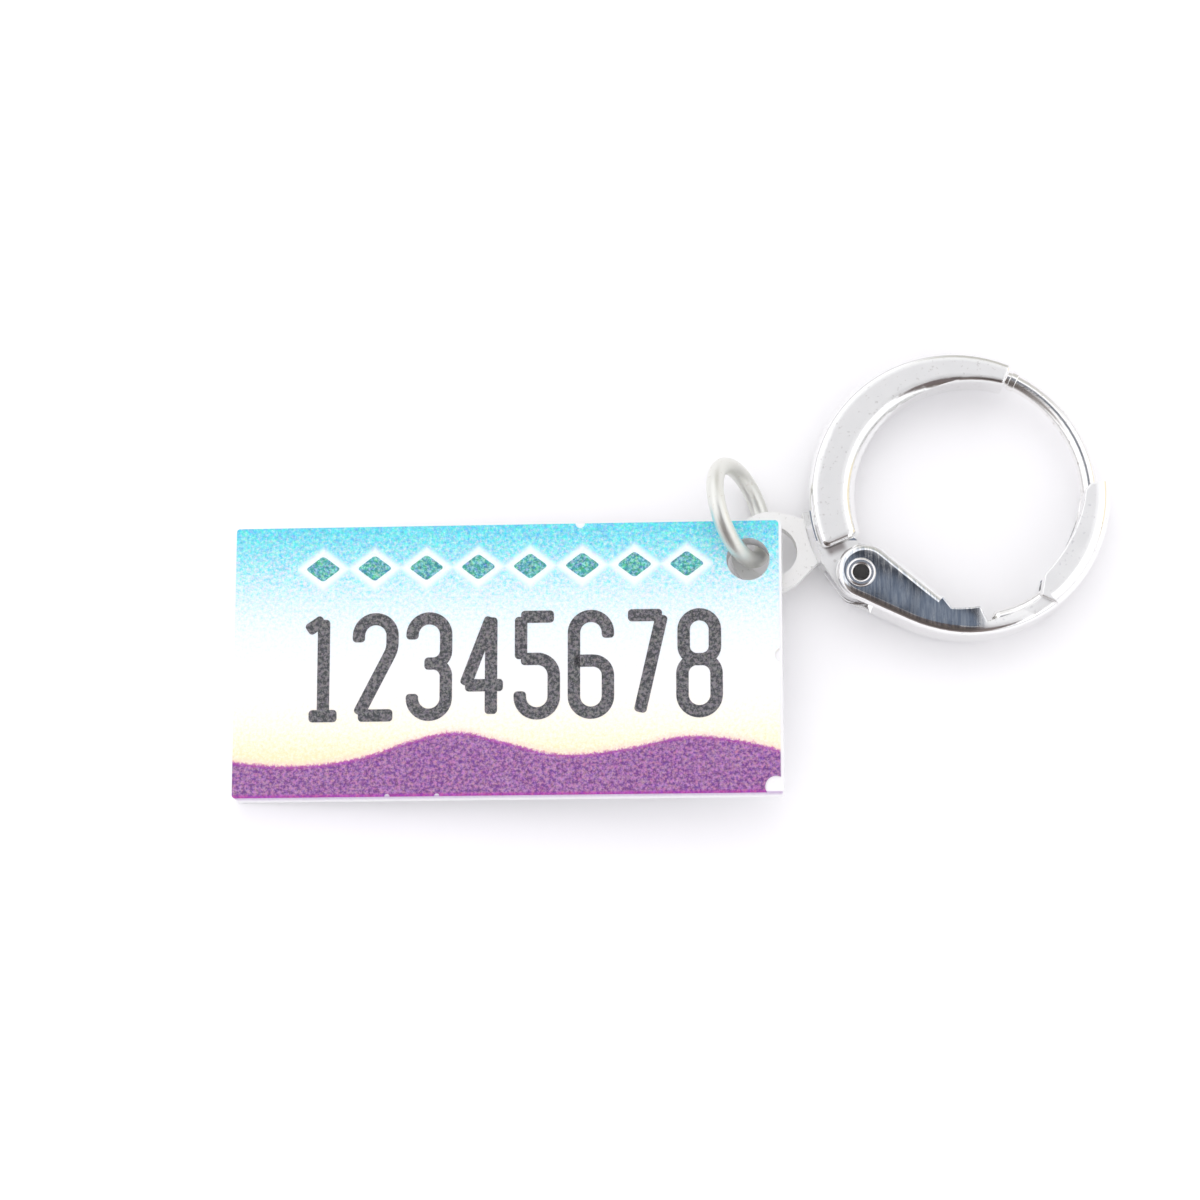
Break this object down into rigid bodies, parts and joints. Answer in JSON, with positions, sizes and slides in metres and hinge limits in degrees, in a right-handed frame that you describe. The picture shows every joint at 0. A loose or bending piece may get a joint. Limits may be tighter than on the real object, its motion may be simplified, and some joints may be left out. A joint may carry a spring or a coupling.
{
  "type": "stitch marker",
  "caption": "Hinged wire-closing hoop that opens to clip on a knitting stitch, with a jump ring that carries a flat printed rectangular plate",
  "frame": {"origin": "the centre of the hoop, halfway through its width", "axes": "+Z is the hoop's axis and points up from the surface that the part lies on, +X points from the charm to the hoop, +Y points from the charm's lower edge to its upper edge"},
  "size_m": [0.0408, 0.021, 0.0049],
  "materials": {
    "plated_metal": "polished nickel plate",
    "plated_wire": "polished nickel plate",
    "ring_wire": "polished plate, slightly warm",
    "spring_steel": "bright spring steel",
    "acrylic": "white acrylic, cut edges",
    "ink": "printed ink, satin"
  },
  "bodies": {
    "clasp": {"front_arch": "plated_metal", "ear_wire": "plated_wire", "hinge_rivet": "plated_metal", "snap_spring": "spring_steel"},
    "lever": {"lever": "plated_metal"},
    "jump_ring": {"jump_ring": "ring_wire"},
    "charm": {"charm_body": "acrylic", "charm_print": "ink"}
  },
  "joints": [
    {"name": "lever_hinge", "type": "hinge", "parent": "clasp", "child": "lever", "pos_m": [-0.00452, -0.00382, 0], "axis": [0, 0, -1], "range_deg": [0, 80]},
    {"name": "ring_swing", "type": "hinge", "parent": "clasp", "child": "jump_ring", "pos_m": [-0.00862, -0.00264, 0], "axis": [0, 0, 1], "range_deg": [-40, 10]},
    {"name": "charm_swing", "type": "hinge", "parent": "jump_ring", "child": "charm", "pos_m": [-0.01011, -0.00094, 0.00104], "axis": [-0.8528, -0.2134, -0.4767], "range_deg": [0, 120]}
  ]
}
